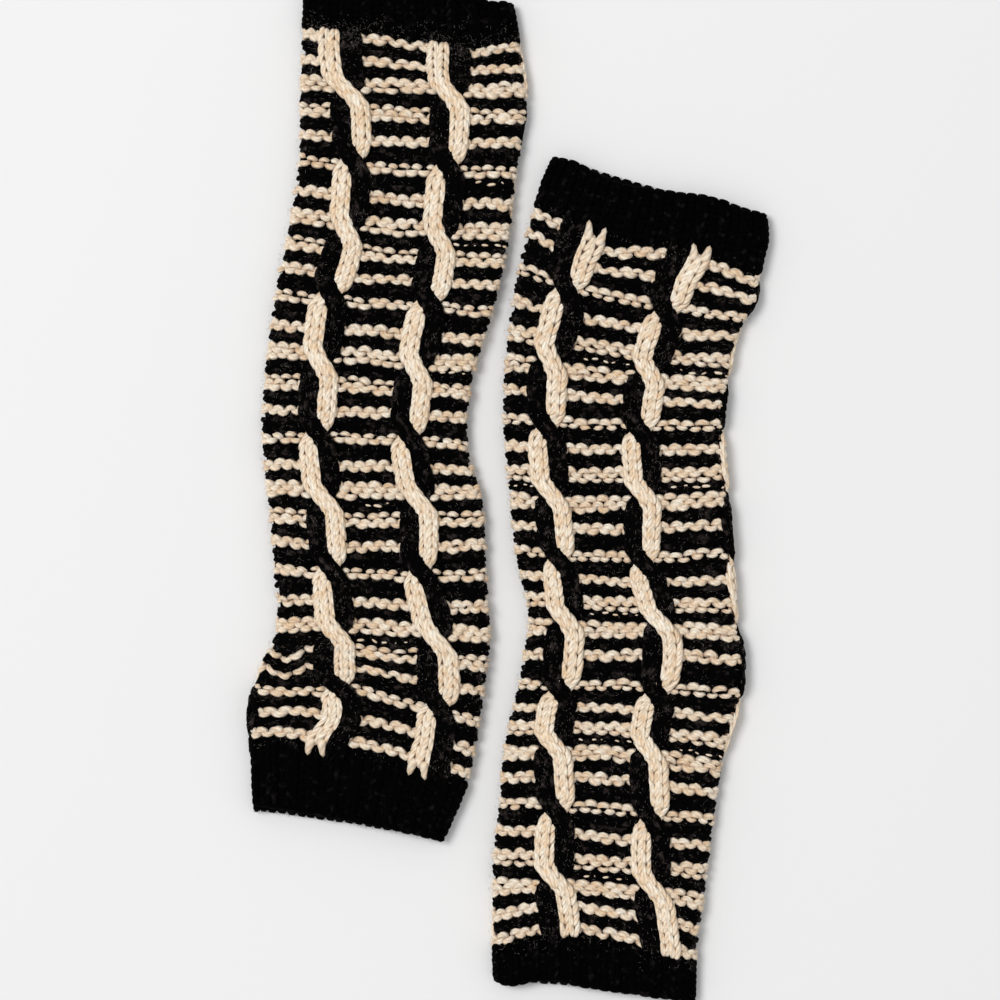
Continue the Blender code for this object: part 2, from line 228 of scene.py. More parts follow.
def fromStitches(warmer, course, stitches):
    # how far round a stitch lies: a cable's four stitches are drawn in and the five between are wider
    ring = ringSizes(warmer, course)
    ends = []
    for column in ("cableX", "nextCableX"):
        overPanel = alongRows(warmer, column, course) - ring["left"][0]
        overPanel = overPanel / (ring["right"][0] - ring["left"][0])
        ends.append(ring["quarter"] + (overPanel - 0.5) * 2 * ring["half"] + ring["flat"] / 2)
    first, second = ends if warmer["side"] > 0 else ends[::-1]
    front = second - first
    rest = warmer["side"] * ring["around"] - front
    repeat, inCable = cloth["repeatStitches"], cloth["cableStitches"] / 2
    half = inCable * cloth["cableStitch"]
    turns, place = np.divmod(np.mod(stitches, cloth["stitchesRound"]), repeat)
    place = np.interp(place, (0, inCable, repeat - inCable, repeat), (0, half, repeat - half, repeat))
    drawn = repeat * turns + place
    wide = front / repeat
    # past the two cables the stitches are stretched over the folds, so that the next ones lie out of sight
    share = (drawn - repeat - half) / (cloth["stitchesRound"] - repeat - 2 * half)
    stretched = share
    for middle, shift in cloth["stretchPast"]:
        stretched = stretched + shift * np.exp(-((share - middle) / cloth["stretchReach"]) ** 2)
    beneath = second + half * wide + (rest - 2 * half * wide) * stretched
    back = second + rest - wide * (cloth["stitchesRound"] - drawn)
    return np.where(drawn <= repeat + half, first + wide * drawn, np.where(share < 1, beneath, back))


class Skein:
    # collects short stitches of yarn, closed tubes pointed at both ends, for one joined mesh
    def __init__(self):
        self.points, self.quads, self.thirds, self.uvQuads, self.uvThirds = [], [], [], [], []
        self.tones, self.depths = [], []
        self.count = 0

    def add(self, path, outward, across, deep, sides, tones, sunk):
        # path and outward are tubes x points x 3. across and deep are half widths, and sunk is the share of
        # painted shade, 0 to 1, which mostly follows how deep the yarn lies
        tubes, length = path.shape[:2]
        if tubes == 0:
            return
        tangent = np.gradient(path, axis=1)
        tangent /= np.linalg.norm(tangent, axis=2, keepdims=True) + 1e-9
        side = np.cross(tangent, outward)
        side /= np.linalg.norm(side, axis=2, keepdims=True) + 1e-9
        up = np.cross(side, tangent)
        angle = np.arange(sides) * 2 * math.pi / sides
        level = side[:, 1:-1, None] * (across[:, 1:-1, None, None] * np.cos(angle)[:, None])
        upright = up[:, 1:-1, None] * (deep[:, 1:-1, None, None] * np.sin(angle)[:, None])
        rings = path[:, 1:-1, None] + level + upright
        each = 2 + (length - 2) * sides
        points = np.concatenate([path[:, :1], path[:, -1:], rings.reshape(tubes, -1, 3)], axis=1)
        k, after = np.arange(sides), (np.arange(sides) + 1) % sides
        first = 2 + np.arange(length - 3)[:, None] * sides
        quads = np.stack([first + k, first + sides + k, first + sides + after, first + after], axis=-1)
        quads = quads.reshape(-1, 4)
        final = 2 + (length - 3) * sides
        thirds = np.concatenate([np.stack([0 * k, 2 + k, 2 + after], axis=-1),
                                 np.stack([0 * k + 1, final + after, final + k], axis=-1)])
        # UV: millimetres along the yarn, and once round it
        steps = np.linalg.norm(np.diff(path, axis=1), axis=2)
        along = np.concatenate([np.zeros((tubes, 1)), np.cumsum(steps, axis=1)], axis=1)
        row = np.arange(length - 3)[:, None] + 0 * k
        lengths = np.stack([row + 1, row + 2, row + 2, row + 1], axis=-1).reshape(-1, 4)
        rounds = np.stack([k, k, k + 1, k + 1], axis=-1)[None].repeat(max(length - 3, 0), axis=0)
        rounds = rounds.reshape(-1, 4) / sides
        uvQuads = np.stack([along[:, lengths], np.broadcast_to(rounds, (tubes,) + rounds.shape)], axis=-1)
        last = 0 * k + length - 1
        capLengths = np.concatenate([np.stack([0 * k, 0 * k + 1, 0 * k + 1], axis=-1),
                                     np.stack([last, last - 1, last - 1], axis=-1)])
        capRounds = np.concatenate([np.stack([k + 0.5, k, k + 1], axis=-1),
                                    np.stack([k + 0.5, k + 1, k], axis=-1)]) / sides
        capRounds = np.broadcast_to(capRounds, (tubes,) + capRounds.shape)
        uvThirds = np.stack([along[:, capLengths], capRounds], axis=-1)
        offsets = self.count + np.arange(tubes)[:, None, None] * each
        self.points.append(points.reshape(-1, 3))
        self.quads.append((quads + offsets).reshape(-1, 4))
        self.thirds.append((thirds + offsets).reshape(-1, 3))
        self.uvQuads.append(uvQuads.reshape(-1, 2))
        self.uvThirds.append(uvThirds.reshape(-1, 2))
        self.tones.append(np.repeat(tones, each))
        rings = np.repeat(sunk[:, 1:-1], sides, axis=1)
        self.depths.append(np.concatenate([sunk[:, :1], sunk[:, -1:], rings], axis=1).ravel())
        self.count += tubes * each

    def make(self, name, material):
        points = np.concatenate(self.points) * 0.001
        points[:, 2] = np.maximum(points[:, 2], 0.0)  # the underside is pressed flat on the floor
        quads, thirds = np.concatenate(self.quads), np.concatenate(self.thirds)
        corners = np.concatenate([quads.ravel(), thirds.ravel()]).astype(np.int32)
        starts = np.concatenate([np.arange(len(quads)) * 4, len(quads) * 4 + np.arange(len(thirds)) * 3])
        mesh = bpy.data.meshes.new(name)
        mesh.vertices.add(len(points))
        mesh.vertices.foreach_set("co", points.ravel())
        mesh.loops.add(len(corners))
        mesh.loops.foreach_set("vertex_index", corners)
        mesh.polygons.add(len(starts))
        mesh.polygons.foreach_set("loop_start", starts.astype(np.int32))
        mesh.update(calc_edges=True)
        uvMap = mesh.uv_layers.new(name="yarn")
        uvMap.data.foreach_set("uv", np.concatenate(self.uvQuads + self.uvThirds).ravel())
        # sunk is stored as the share of painted shade that the materials mix in
        for attribute, values in (("stitchTone", self.tones), ("sunk", self.depths)):
            made = mesh.attributes.new(attribute, "FLOAT", "POINT")
            made.data.foreach_set("value", np.concatenate(values).astype(np.float32))
        mesh.shade_smooth()
        mesh.materials.append(material)
        piece = bpy.data.objects.new(name, mesh)
        scene.collection.objects.link(piece)
        triangles = 2 * len(quads) + len(thirds)
        print(f"{name}: {triangles} triangles")
        return piece


# how finely yarn is meshed: steps between the points and sides, for what shows and for the underside
meshing = {
    "stitch": ((1, 6), (2, 4)), "blackRidge": ((1, 5), (2, 4)), "fibre": ((1, 3), (1, 3)),
    "underside": -0.35,  # upward part of the way out of the cloth, below which it counts as the underside
}


def layRound(skein, warmer, course, around, lift, across, deep, tones, sunk=0.0, sort="stitch"):
    # tones has a value for each tube. The others are tubes x points, or spread out to that
    course, around, lift, across, deep, sunk = np.broadcast_arrays(course, around, lift, across, deep, sunk)
    path, outward, _ = onCloth(warmer, course, around, lift)
    shown = outward[:, course.shape[1] // 2, 2] > meshing["underside"]
    for chosen, (step, sides) in zip((shown, ~shown), meshing[sort]):
        keep = np.arange(0, course.shape[1], step)
        skein.add(path[chosen][:, keep], outward[chosen][:, keep], across[chosen][:, keep],
                  deep[chosen][:, keep], sides, tones[chosen], sunk[chosen][:, keep])


# purl ridges between the cables: every purl row shows as bumps, some at the wales and some between them
bumpKinds = {
    # half width in stitches, yarn and depth of the ends in mm, bow in rows, and how far it is sunk in mm,
    # which also adds painted shade
    "wave": {"width": 0.61, "yarn": 1.45, "dive": 3.0, "bow": 0.8, "sunk": 0.0},
    "plump": {"width": 0.56, "yarn": 1.6, "dive": 2.8, "bow": 0.45, "sunk": 0.0},
    "dot": {"width": 0.48, "yarn": 1.25, "dive": 2.4, "bow": 0.3, "sunk": 0.1},
    "back": {"width": 0.66, "yarn": 1.5, "dive": 2.2, "bow": 0.6, "sunk": 0.4},
    "low": {"width": 0.6, "yarn": 1.35, "dive": 2.0, "bow": 0.2, "sunk": 1.1},
}
# each row of bumps: its crest in rows, where they stand, colour, kind, and which way they bow
groundRows = [
    (0.3, "wale", "black", "low", 1), (0.98, "wale", "cream", "plump", 1),
    (2.0, "between", "black", "back", -1), (3.2, "wale", "black", "back", 1),
    (4.5, "between", "cream", "wave", -1), (5.5, "wale", "cream", "wave", 1),
    (6.4, "between", "black", "back", -1), (7.2, "wale", "black", "back", 1),
    (8.05, "between", "cream", "wave", -1), (9.1, "wale", "cream", "wave", 1),
    (9.92, "between", "cream", "plump", 1),
    (11.0, "wale", "black", "back", -1), (11.9, "between", "black", "back", 1),
    (12.75, "wale", "cream", "dot", -1), (13.7, "between", "cream", "wave", -1),
    (14.6, "wale", "cream", "wave", 1),
    (15.5, "between", "black", "back", -1), (16.5, "wale", "black", "back", 1),
    (17.5, "between", "cream", "wave", -1), (18.5, "wale", "cream", "wave", 1),
    (19.4, "between", "black", "back", -1), (20.3, "wale", "black", "back", 1),
    (21.1, "between", "black", "back", 1),
    (21.95, "between", "cream", "dot", -1), (21.5, "wale", "black", "low", 1),
]
# the narrow cuff's seam has its own first rows
firstRows = [
    (0.5, "between", "cream", "wave", -1), (1.5, "wale", "cream", "wave", 1),
    (2.4, "between", "black", "back", -1), (3.4, "wale", "black", "back", 1),
]
ground = {
    "spread": 1.085,  # its stitches are wide, and the outer ones run under the cables
    "atWales": 5, "between": 6,  # bumps from one cable to the next
    "points": (-1, -0.9, -0.66, -0.34, 0, 0.34, 0.66, 0.9, 1),  # along a bump, where its rings stand
    "bowPower": 1.8, "divePower": 2.2, "taper": 0.6, "taperPower": 6, "flat": 0.92,
    # fullShade turns the sinking into painted shade: a bump sunk this far is painted all in shade
    "fullShade": 4,  # mm that a bump is sunk when it lies all in shade
    "unevenRow": 0.11, "unevenTilt": 0.8, "unevenStitch": 0.08, "unevenWidth": 0.05, "unevenYarn": 0.12,
    "unevenLift": 0.22, "drift": 0.24,
    "pastFirst": 0.6, "beforeCuff": 0.5,  # rows left clear of the first rows and of the wide cuff
}
# the waves of hand knitting: height, turn in a row, waves round the warmer, part of the seed
slowWaves = ((0.5, 0.31, 2, 1), (0.3, 0.83, -5, 2), (0.3, 0.17, 9, 3))


def wobble(course, stitches, seed):
    # slow unevenness of hand knitting, a few stitches long
    angle = stitches * 2 * math.pi / cloth["stitchesRound"]
    return sum(height * np.sin(inRow * course + waves * angle + part * seed)
               for height, inRow, waves, part in slowWaves)


def bumpRow(skeins, warmer, course, stands, colour, kind, bulge):
    # one row of bumps: each arcs over the front and dives under its neighbours at both ends
    shape = bumpKinds[kind]
    count = ground["atWales"] if stands == "wale" else ground["between"]
    places = ground["spread"] * (np.arange(count) - (count - 1) / 2)
    hidden = [start for row, start in warmer["swallowed"] if math.isclose(row, course)]
    starts = np.arange(0, cloth["stitchesRound"], cloth["repeatStitches"])
    starts = starts[~np.isin(starts, hidden)]
    stitches = (starts[:, None] + cloth["repeatStitches"] / 2 + places).ravel()
    t = np.array(ground["points"])[None]
    uneven = dice.normal(0, 1, (len(stitches), 6, 1))
    yarn = shape["yarn"] * (1 + ground["unevenYarn"] * uneven[:, 3])
    width = shape["width"] * (1 + ground["unevenWidth"] * uneven[:, 5])
    q = stitches[:, None] + width * t + ground["unevenStitch"] * uneven[:, 0]
    n = course - bulge * shape["bow"] * np.abs(t) ** ground["bowPower"]
    n = n + ground["unevenRow"] * (uneven[:, 1] + ground["unevenTilt"] * uneven[:, 2] * t)
    n = n + ground["drift"] * wobble(n, q, warmer["side"])
    sink = np.abs(t) ** ground["divePower"]
    lift = -yarn - shape["sunk"] + ground["unevenLift"] * uneven[:, 4] - shape["dive"] * sink
    swell = np.sqrt(1 - ground["taper"] * t ** ground["taperPower"])
    # the clipped value passed last but one is painted shade: more towards each bump's ends, where it dives,
    # and more on sunk rows
    layRound(skeins[colour], warmer, n, fromStitches(warmer, n, q), lift, yarn * swell,
             yarn * ground["flat"] * swell, dice.random(len(stitches)),
             np.clip(sink + shape["sunk"] / ground["fullShade"], 0, 1),
             "blackRidge" if colour == "black" else "stitch")


speckShape = {
    "apart": 0.9, "scatter": 0.14, "width": 0.28, "yarn": 0.5, "lift": -0.8, "dive": 0.9, "tilt": 0.12,
    "taper": 0.8, "unevenWidth": 0.35, "unevenYarn": 0.3, "points": 5,
}


def knitSpecks(warmer, skein):
    shape = speckShape
    t = np.linspace(-1, 1, shape["points"])[None]
    for course, first, last in warmer["specks"]:
        places = np.arange(first, last, shape["apart"])
        uneven = dice.normal(0, 1, (len(places), 4, 1))
        width = shape["width"] * (1 + shape["unevenWidth"] * uneven[:, 0])
        q = places[:, None] + shape["scatter"] * uneven[:, 2] + width * t
        n = course + shape["tilt"] * uneven[:, 1] * t + shape["scatter"] * uneven[:, 3]
        lift = shape["lift"] - shape["dive"] * t ** 2
        yarn = shape["yarn"] * (1 + shape["unevenYarn"] * np.clip(uneven[:, 0], -2, 2))
        yarn = yarn * np.sqrt(1 - shape["taper"] * t ** 2)
        layRound(skein, warmer, n, fromStitches(warmer, n, q), lift, yarn, yarn, dice.random(len(places)))


def knitGround(warmer, skeins):
    for row in firstRows:
        bumpRow(skeins, warmer, *row)
    start, end = firstRows[-1][0] + ground["pastFirst"], cloth["bodyRows"] - ground["beforeCuff"]
    for repeat in range(0, cloth["bodyRows"], cloth["repeatRows"]):
        for course, *rest in groundRows:
            if start < repeat + course < end:
                bumpRow(skeins, warmer, repeat + course, *rest)
    knitSpecks(warmer, skeins["cream"])
    print(warmer["name"], "ground knitted")


# the cables: two strands of two stitches, each a column of knit V's
strand = {
    "perRepeat": 12, "firstTip": -0.5, "beforeCuff": 2.0, "length": 3.3,  # V's, and rows
    "points": (0, 0.07, 0.16, 0.29, 0.44, 0.6, 0.75, 0.9, 1),  # along a leg of a V, where its rings stand
    "wales": (-0.47, 0.47), "tip": 0.09, "open": 0.39, "openAt": 0.6,  # stitches, and a share of the leg
    "yarn": 1.36, "flat": 0.66, "taper": 0.75, "taperPower": 6, "onFold": 0.28, "leastCrown": 0.05,
    "tipShare": 0.2, "tipDive": 2.2, "slope": 0.9, "headFrom": 0.7, "headShare": 0.3, "headDive": 1.2,
    "headShade": 0.5, "unevenRow": 0.1, "unevenStitch": 0.02, "unevenYarn": 0.07, "unevenLift": 0.08,
}
# each wale ends in a pointed prong that sinks into the wide cuff
prong = {
    "from": -1.2, "length": 2.9, "parting": 0.75, "across": 2.3, "tip": 0.25, "taperPower": 0.42, "flat": 0.6,
    "dive": 1.5, "rootsIn": 4, "lift": 0.5, "tone": 0.6, "tipShade": 0.25, "points": 8,
}
# the yarn behind the V's, which closes the gaps between them, painted mostly in shade
core = {"inset": 0.3, "perRow": 2, "across": 3.2, "deep": 1.1, "depth": 3.1, "tone": 0.4, "shade": 0.8}


def strandOffset(course, crossing):
    reach, repeat = cableTurn["reach"], cloth["repeatRows"]
    course = np.clip(course, cableTurn["straightRows"], cloth["bodyRows"] - cableTurn["straightRows"])
    since = np.mod(course - crossing + reach, repeat)
    over = ease(since / (2 * reach))
    back = ease((since - repeat / 2) / (2 * reach))
    return 2 * (over - back) - 1


def strandRise(course, crossing):
    half = cloth["repeatRows"] / 2
    inner = np.clip(course, cableTurn["straightRows"], cloth["bodyRows"] - cableTurn["straightRows"])
    toFront = np.abs(np.mod(inner - crossing + half, cloth["repeatRows"]) - half)
    front = ease(1 - toFront / (cableTurn["reach"] + 1))
    behind = ease(1 - (half - toFront) / cableTurn["reach"])
    rise = cableTurn["rise"] + (cableTurn["frontRise"] - cableTurn["rise"]) * front
    rise = rise + (cableTurn["behindRise"] - cableTurn["rise"]) * behind
    inside = np.minimum(course, cloth["bodyRows"] - course)
    return rise * ease((inside + cableTurn["endRise"] * cableTurn["endRows"]) / cableTurn["endRows"])


def knitLegs(warmer, skein, crossing, start, wale, leg):
    # one leg of every V in a wale, each diving under the next V's tip
    t = np.array(strand["points"])[None]
    pitch = cloth["repeatRows"] / strand["perRepeat"]
    tips = np.arange(strand["firstTip"], cloth["bodyRows"] - strand["beforeCuff"], pitch)
    uneven = dice.normal(0, 1, (len(tips), 4, 1))
    n = tips[:, None] + strand["unevenRow"] * uneven[:, 0] + strand["length"] * t
    opening = strand["tip"] + (strand["open"] - strand["tip"]) * np.minimum(1, t / strand["openAt"])
    offset = wale + leg * (opening + strand["unevenStitch"] * uneven[:, 1])
    q = start + strandOffset(n, crossing) + offset
    yarn = strand["yarn"] * (1 + strand["unevenYarn"] * uneven[:, 2])
    swell = np.sqrt(1 - np.abs(2 * t - 1) ** strand["taperPower"] * strand["taper"])
    fromTip = np.maximum(0, 1 - t / strand["tipShare"]) ** 2
    fromHead = np.maximum(0, (t - strand["headFrom"]) / strand["headShare"]) ** 2
    dive = strand["tipDive"] * fromTip + strand["headDive"] * fromHead + strand["slope"] * t
    around = fromStitches(warmer, n, q)
    _, outward, _ = onCloth(warmer, n, around, 0 * n)
    standing = np.clip(strand["onFold"] + outward[..., 2], 0, 1)
    crown = np.sqrt(np.maximum(strand["leastCrown"], 1 - (offset / cableTurn["halfWidth"]) ** 2))
    lift = -yarn * strand["flat"] + standing * strandRise(n, crossing) * crown - dive
    # the last value is painted shade: strongest at the tip, where the leg dives under the next V, and half as
    # strong at its head
    layRound(skein, warmer, n, around, lift + strand["unevenLift"] * uneven[:, 3], yarn * swell,
             yarn * strand["flat"] * swell, dice.random(len(tips)), fromTip + strand["headShade"] * fromHead)


def knitProng(warmer, skein, crossing, start, wale):
    u = np.linspace(0, 1, prong["points"])[None]
    n = cloth["bodyRows"] + prong["from"] + prong["length"] * u
    offset = wale * (1 + prong["parting"] * u)
    around = fromStitches(warmer, n, start + strandOffset(n, crossing) + offset)
    _, _, topside = onCloth(warmer, n, around, 0 * n)
    taper = prong["across"] * (1 - u) ** prong["taperPower"] + prong["tip"]
    lift = -prong["flat"] * taper + topside * (1 - u) * strandRise(n, crossing)
    lift = lift - prong["dive"] * (1 - ease(u * prong["rootsIn"])) + prong["lift"]
    # the last value is painted shade, which grows towards the prong's tip where it sinks into the cuff
    layRound(skein, warmer, n, around, lift, taper, prong["flat"] * taper, np.array([prong["tone"]]),
             prong["tipShade"] * u)


def layCore(warmer, skein, crossing, start):
    rows = cloth["bodyRows"]
    n = np.linspace(core["inset"], rows - core["inset"], core["perRow"] * rows)[None]
    around = fromStitches(warmer, n, start + strandOffset(n, crossing))
    _, _, topside = onCloth(warmer, n, around, 0 * n)
    lift = topside * strandRise(n, crossing) - core["depth"]
    layRound(skein, warmer, n, around, lift, core["across"], core["deep"], np.array([core["tone"]]),
             core["shade"])


def knitCables(warmer, skeins):
    for colour, skein in skeins.items():
        crossing = cableTurn[colour + "Crossing"]
        for start in range(0, cloth["stitchesRound"], cloth["repeatStitches"]):
            for wale in strand["wales"]:
                for leg in (-1, 1):
                    knitLegs(warmer, skein, crossing, start, wale, leg)
                knitProng(warmer, skein, crossing, start, wale)
            layCore(warmer, skein, crossing, start)
    print(warmer["name"], "cables knitted")


# loose fibres standing off the yarn: how many of each colour, and their length and thickness in mm
fuzz = {
    "cream": 9200, "black": 3000, "length": (0.6, 2.6), "thick": 0.04, "curl": 0.4, "points": (-1, 0.1, 1),
    "stand": 0.7, "atFolds": 1.4, "sunk": 0.3, "cableReach": 3.2,
    "besideRidges": 1.5, "anywhere": 0.3,  # rows to either side of a ridge, and the share that lie anywhere
    "rowHeight": 2.84, "stitchWidth": 5.2, "stitches": (-13, 23),  # the upper panel's stitches and its folds'
}


def fuzzRows(warmer, colour):
    # the rows where the fibres lie
    count, rows = fuzz[colour], cloth["bodyRows"]
    if colour == "black":
        return dice.uniform(*warmer["rows"][[0, -1], 0], (count, 1))
    # most of the pale ones are rubbed off the ridges onto the black beside them
    creamRows = np.array([row[0] for row in groundRows if row[2] == "cream"])
    course = dice.integers(0, math.ceil(rows / cloth["repeatRows"]), (count, 1)) * cloth["repeatRows"]
    course = course + dice.choice(creamRows, (count, 1))
    course = course + dice.uniform(-fuzz["besideRidges"], fuzz["besideRidges"], (count, 1))
    course = np.where(dice.random((count, 1)) < fuzz["anywhere"], dice.uniform(0, rows, (count, 1)), course)
    course = np.where((course > -1) & (course < rows + 1), course, course - cloth["repeatRows"])
    middle, spread, more = warmer["haze"]
    return np.concatenate([course, middle + spread * dice.normal(0, 1, (more, 1))])


def brushFuzz(warmer, skeins):
    t = np.array(fuzz["points"])[None]
    halfRepeat = cloth["repeatStitches"] / 2
    for colour, skein in skeins.items():
        course = fuzzRows(warmer, colour)
        count = len(course)
        stitch = dice.uniform(*fuzz["stitches"], (count, 1))
        turn = dice.uniform(0, math.pi, (count, 1))
        half = dice.uniform(*fuzz["length"], (count, 1)) / 2
        bend = fuzz["curl"] * dice.normal(0, 1, (count, 1)) * half
        along, aside = half * t, bend * (t ** 2 - 0.5)
        n = course + (along * np.cos(turn) - aside * np.sin(turn)) / fuzz["rowHeight"]
        q = stitch + (along * np.sin(turn) + aside * np.cos(turn)) / fuzz["stitchWidth"]
        around = fromStitches(warmer, n, q)
        _, _, topside = onCloth(warmer, n, around, 0 * n)
        fromCable = np.mod(q + halfRepeat, cloth["repeatStitches"]) - halfRepeat
        onBlack = fromCable - strandOffset(n, cableTurn["creamCrossing"]) > 0
        rise = np.where(onBlack, strandRise(n, cableTurn["blackCrossing"]),
                        strandRise(n, cableTurn["creamCrossing"]))
        stand = fuzz["stand"] * dice.uniform(0, 1, (count, 1)) * (1 - t ** 2)
        stand = stand * (1 + fuzz["atFolds"] * (1 - topside))
        lift = topside * ease(fuzz["cableReach"] - np.abs(fromCable)) * rise - fuzz["sunk"] + stand
        layRound(skein, warmer, n, around, lift, fuzz["thick"], fuzz["thick"], dice.random(count),
                 sort="fibre")
    print(warmer["name"], "fibres brushed up")


# ribbed cuffs: columns of plump V's, with purl bumps sunk between them
cuffKnit = {
    "ribs": 21, "pitch": 1.15, "length": 1.75, "early": 0.3, "boundRows": 0.9,  # rows
    "yarn": 1.5, "tip": 0.35, "spread": 1.6, "openBy": 1.3, "rise": 0.4, "dive": 1.8, "divePower": 3,
    "taper": 0.85, "taperPower": 2.4, "ribAt": 0.25, "points": 9,
    "unevenRow": 0.06, "unevenSide": 0.1, "unevenYarn": 0.06, "unevenLift": 0.1,
}
cuffPurl = {
    "purlAt": 0.75, "halfWidth": 2.4, "bow": 0.25, "depth": 2.3, "dive": 1.0, "across": 1.5, "deep": 1.4,
    "taper": 0.7, "points": 7, "unevenRow": 0.05, "unevenLift": 0.1,
}
# short hairs standing off the bound edge
cuffHair = {
    "count": 700, "length": 0.75, "rootIn": 0.25, "lean": 1.2, "leanPower": 1.5, "depth": (0.3, 3.4),
    "thick": 0.035,
}
# the bound edge: a chain of plump stitches, one row on the outside of the wall and one inside
boundEdge = {
    "chains": ((1.55, 0.05), (cloth["wall"] - 1.7, -0.05)),  # depth in mm, and rows past the edge
    "perRib": 2, "inset": 0.45, "bow": 0.22, "halfWidth": 3.0, "dive": 0.9, "yarn": 1.5, "taper": 0.75,
    "points": 7, "unevenRow": 0.05, "unevenSide": 0.15, "unevenLift": 0.1,
}


def cuffEnds(warmer, size):
    # the rows of a cuff's seam and edge, and which way they count from one to the other
    if size == "narrow":
        return 0.0, warmer["rows"][0, 0], -1
    return float(cloth["bodyRows"]), warmer["rows"][-1, 0], 1


def knitRibs(warmer, size, skein):
    seam, edge, outwards = cuffEnds(warmer, size)
    knit, purl = cuffKnit, cuffPurl
    knitted = abs(edge - seam) - knit["boundRows"]
    rows = int(round(knitted / knit["pitch"]))
    pitch = knitted / rows
    ribs = np.arange(knit["ribs"])
    low = min(seam, edge) + (knit["boundRows"] if size == "narrow" else 0.0)
    t = np.linspace(0, 1, knit["points"])[None]
    u = np.linspace(-1, 1, purl["points"])[None]
    for row in range(rows):
        for leg in (-1, 1):
            uneven = dice.normal(0, 1, (len(ribs), 4, 1))
            n = low - knit["early"] + row * pitch + knit["unevenRow"] * uneven[:, 0] + knit["length"] * t
            ring = ringSizes(warmer, n)
            opening = knit["tip"] + (knit["spread"] - knit["tip"]) * ease(knit["openBy"] * t)
            around = ring["around"] * (ribs[:, None] + knit["ribAt"]) / knit["ribs"]
            around = around + leg * opening + knit["unevenSide"] * uneven[:, 1]
            yarn = knit["yarn"] * (1 + knit["unevenYarn"] * uneven[:, 2])
            _, _, topside = onCloth(warmer, n, around, 0 * n)
            lift = -yarn + knit["rise"] * topside - knit["dive"] * np.abs(2 * t - 1) ** knit["divePower"]
            lift = lift + knit["unevenLift"] * uneven[:, 3]
            swell = np.sqrt(1 - np.abs(2 * t - 1) ** knit["taperPower"] * knit["taper"])
            layRound(skein, warmer, n, around, lift, yarn * swell, yarn * swell, dice.random(len(ribs)))
        uneven = dice.normal(0, 1, (len(ribs), 2, 1))
        n = low + (row + 0.5) * pitch + purl["bow"] * (1 - u ** 2) * outwards
        n = n + purl["unevenRow"] * uneven[:, 0]
        ring = ringSizes(warmer, n)
        around = ring["around"] * (ribs[:, None] + purl["purlAt"]) / knit["ribs"] + purl["halfWidth"] * u
        lift = -purl["depth"] - purl["dive"] * u ** 2 + purl["unevenLift"] * uneven[:, 1]
        swell = np.sqrt(1 - purl["taper"] * u ** 4)
        layRound(skein, warmer, n, around, lift, purl["across"] * swell, purl["deep"] * swell,
                 dice.random(len(ribs)))


def hairEdge(warmer, size, skein):
    _, edge, outwards = cuffEnds(warmer, size)
    t = np.array([0, 0.5, 1])[None]
    count = cuffHair["count"]
    roots = dice.uniform(0, 1, (count, 1))
    reach = dice.uniform(0.0, cuffHair["length"], (count, 1)) * t - cuffHair["rootIn"]
    n = edge + outwards * reach
    ring = ringSizes(warmer, n)
    lean = dice.normal(0, cuffHair["lean"], (count, 1)) * t ** cuffHair["leanPower"]
    lift = -dice.uniform(*cuffHair["depth"], (count, 1))
    layRound(skein, warmer, n, ring["around"] * roots + lean, lift, cuffHair["thick"], cuffHair["thick"],
             dice.random(count), sort="fibre")


def bindEdge(warmer, size, skein):
    _, edge, outwards = cuffEnds(warmer, size)
    stitches = np.arange(boundEdge["perRib"] * cuffKnit["ribs"])
    u = np.linspace(-1, 1, boundEdge["points"])[None]
    for depth, past in boundEdge["chains"]:
        uneven = dice.normal(0, 1, (len(stitches), 3, 1))
        n = past - boundEdge["inset"] - boundEdge["bow"] * u ** 2 + boundEdge["unevenRow"] * uneven[:, 0]
        n = edge + outwards * n
        ring = ringSizes(warmer, n)
        around = ring["around"] * (stitches[:, None] + 0.5) / len(stitches) + boundEdge["halfWidth"] * u
        around = around + boundEdge["unevenSide"] * uneven[:, 1]
        lift = -depth - boundEdge["dive"] * u ** 2 + boundEdge["unevenLift"] * uneven[:, 2]
        yarn = boundEdge["yarn"] * np.sqrt(1 - boundEdge["taper"] * u ** 4)
        layRound(skein, warmer, n, around, lift, yarn, yarn, dice.random(len(stitches)))


# the thin cloth under the stitches, whose dark colour is painted shade in the gaps
base = {
    "outer": -2.5, "inner": -4.1, "columns": 96,  # depths of its faces in mm, and points round it
    "gap": 0.05, "lip": 0.5, "cuffRings": 6,  # rows left free at a seam and at an edge, and a cuff's rings
}


